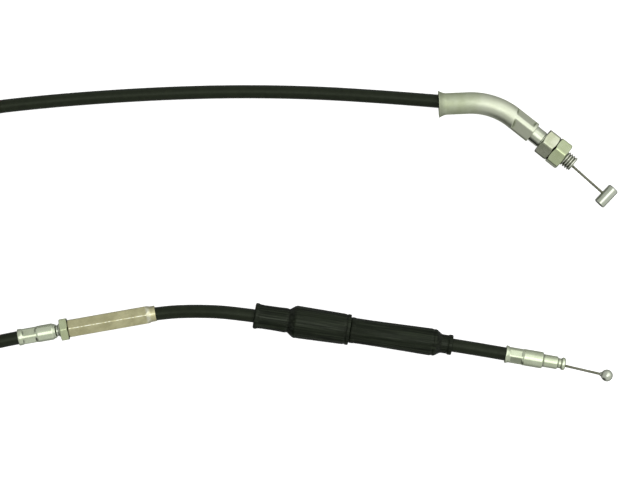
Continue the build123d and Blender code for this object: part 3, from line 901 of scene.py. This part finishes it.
def cable_ties():
    """Two nylon ties round the coil: a strap, a square head outside it and the cut-off tail."""
    strap_w, strap_t = 3.6, 0.95
    half_width, half_height, corner = 5.06, 4.83, 2.6
    vertices, faces = [], []

    def add(points, new_faces):
        first = len(vertices)
        vertices.extend(points)
        faces.extend(tuple(first + v for v in f) for f in new_faces)

    def box(frame_at, low, high):
        xs, ys, zs = zip(low, high)
        add([frame_at(x, y, z) for x in xs for y in ys for z in zs],
            [(0, 1, 3, 2), (4, 6, 7, 5), (0, 4, 5, 1), (2, 3, 7, 6), (0, 2, 6, 4), (1, 5, 7, 3)])

    for angle in (35, 225):
        a = math.radians(angle)
        out, along = Vector((math.cos(a), math.sin(a), 0)), Vector((-math.sin(a), math.cos(a), 0))
        middle = Vector((*COIL_CENTRE, 0)) + out * 30 + Vector((0, 0, 5.825))

        def at(x, y, z):
            return (middle + out * x + along * y + Vector((0, 0, z))) * MM

        strap = []
        for k in range(48):
            turn = 2 * math.pi * (k + 0.5) / 48
            c, d = math.cos(turn), math.sin(turn)
            x = math.copysign(half_width - corner, c) + corner * c
            z = math.copysign(half_height - corner, d) + corner * d
            for rise, y in ((0, -1), (0, 1), (1, 1), (1, -1)):
                strap.append(at(x + c * rise * strap_t, y * strap_w / 2, z + d * rise * strap_t))
        add(strap, loop_faces(48, 4, True))
        box(at, (half_width + 0.1, -2.7, -2.3), (9.0, 2.7, 2.3))
        box(at, (half_width + 1.3, -strap_w / 2, 2.2), (half_width + 2.3, strap_w / 2, 5.2))
        box(at, (half_width + 2.5, -1.1, -2.6), (8.4, 1.1, -2.2))
    obj = mesh_object("cable_ties", vertices, faces, Matrix(), MATERIALS["tie_nylon"])
    bevel = obj.modifiers.new("bevel", "BEVEL")
    bevel.width, bevel.segments = 0.25 * MM, 2
    obj.data.polygons.foreach_set("use_smooth", [False] * len(obj.data.polygons))
    place(obj, "root", "tie_nylon", "coil_ties")
    return obj


conduit = long_conduit()
ties = cable_ties()
tuple(AXES["elbow"].at(0))


def short_conduits():
    adjuster_axis, boot_axis, end_axis = AXES["adjuster"], AXES["boot"], AXES["end"]
    points = [
        adjuster_axis.at(40.8), adjuster_axis.at(53.95), Vector((-44.55, -27.65, 5.7)) * MM,
        boot_axis.at(-4.7), boot_axis.at(21.0),
    ]
    obj = spline("mid_conduit", [tuple(p) for p in points], CONDUIT_R, MATERIALS["sheath"])
    place(obj, "mid_run", "sheath", "conduit_mid_sheath")
    points = [
        boot_axis.at(53.8), boot_axis.at(68.0), boot_axis.at(81.0), end_axis.at(14.0), end_axis.at(28.7),
    ]
    obj = spline("end_conduit", [tuple(p) for p in points], CONDUIT_R, MATERIALS["sheath"])
    place(obj, "end_run", "sheath", "conduit_end_sheath")


short_conduits()


# ---------------------------------------------------------------- floor, light and camera
VIEW_WIDTH = 0.2388        # metres across the picture at mid height
VIEW_CENTRE = (0.00095, -0.0012)
CAMERA_HEIGHT = 1.2
MID_HEIGHT = 0.005


def floor():
    mesh = bpy.data.meshes.new("floor")
    size = 4.0
    corners = [(-size, -size, 0), (size, -size, 0), (size, size, 0), (-size, size, 0)]
    mesh.from_pydata(corners, [], [(0, 1, 2, 3)])
    obj = bpy.data.objects.new("floor", mesh)
    bpy.context.collection.objects.link(obj)
    material = bpy.data.materials.new("floor")
    material.use_nodes = True
    shader = material.node_tree.nodes["Principled BSDF"]
    shader.inputs["Base Color"].default_value = (0.9, 0.9, 0.9, 1)
    shader.inputs["Roughness"].default_value = 0.9
    shader.inputs["Emission Color"].default_value = (1, 1, 1, 1)
    shader.inputs["Emission Strength"].default_value = 0.7
    obj.visible_glossy = False
    mesh.materials.append(material)


def direction(azimuth, from_zenith):
    """A unit vector from two angles in degrees."""
    a, z = math.radians(azimuth), math.radians(from_zenith)
    return Vector((math.cos(a) * math.sin(z), math.sin(a) * math.sin(z), math.cos(z)))


def studio():
    """A light tent: a soft glow from the right, a dark patch low beyond the near left, a wide window high
    on the right, a small one overhead, and shade from underneath. Each fades in from start to end degrees.
    """
    scene = bpy.context.scene
    scene.view_settings.view_transform = "Standard"
    world = bpy.data.worlds.new("studio")
    scene.world = world
    world.use_nodes = True
    nodes, links = world.node_tree.nodes, world.node_tree.links
    coordinates = nodes.new("ShaderNodeTexCoord").outputs["Generated"]
    total = None
    for toward, start, end, low, high in (
        (direction(0, 70), 150, 40, 0.50, 0.66),
        (direction(236, 92), 34, 17, 0.0, -0.38),
        (direction(30, 38), 48, 14, 0.0, 0.75),
        (direction(-60, 6), 25, 12, 0.0, 0.95),
        (direction(0, 180), 90, 66, 0.0, -0.24),
    ):
        dot = nodes.new("ShaderNodeVectorMath")
        dot.operation = "DOT_PRODUCT"
        dot.inputs[1].default_value = toward
        links.new(coordinates, dot.inputs[0])
        angle = nodes.new("ShaderNodeMath")
        angle.operation = "ARCCOSINE"
        angle.use_clamp = False
        links.new(dot.outputs["Value"], angle.inputs[0])
        lobe = nodes.new("ShaderNodeMapRange")
        lobe.interpolation_type = "SMOOTHSTEP"
        for socket, value in (("From Min", math.radians(start)), ("From Max", math.radians(end)),
                              ("To Min", low), ("To Max", high)):
            lobe.inputs[socket].default_value = value
        links.new(angle.outputs["Value"], lobe.inputs["Value"])
        if total is None:
            total = lobe.outputs["Result"]
        else:
            add = nodes.new("ShaderNodeMath")
            add.operation = "ADD"
            links.new(total, add.inputs[0])
            links.new(lobe.outputs["Result"], add.inputs[1])
            total = add.outputs["Value"]
    links.new(total, nodes["Background"].inputs["Strength"])
    nodes["Background"].inputs["Color"].default_value = (1, 1, 1, 1)


def camera():
    data = bpy.data.cameras.new("camera")
    data.sensor_width = 36
    data.lens = data.sensor_width * (CAMERA_HEIGHT - MID_HEIGHT) / VIEW_WIDTH
    obj = bpy.data.objects.new("camera", data)
    bpy.context.collection.objects.link(obj)
    obj.location = (*VIEW_CENTRE, CAMERA_HEIGHT)
    bpy.context.scene.camera = obj


floor()
studio()
camera()
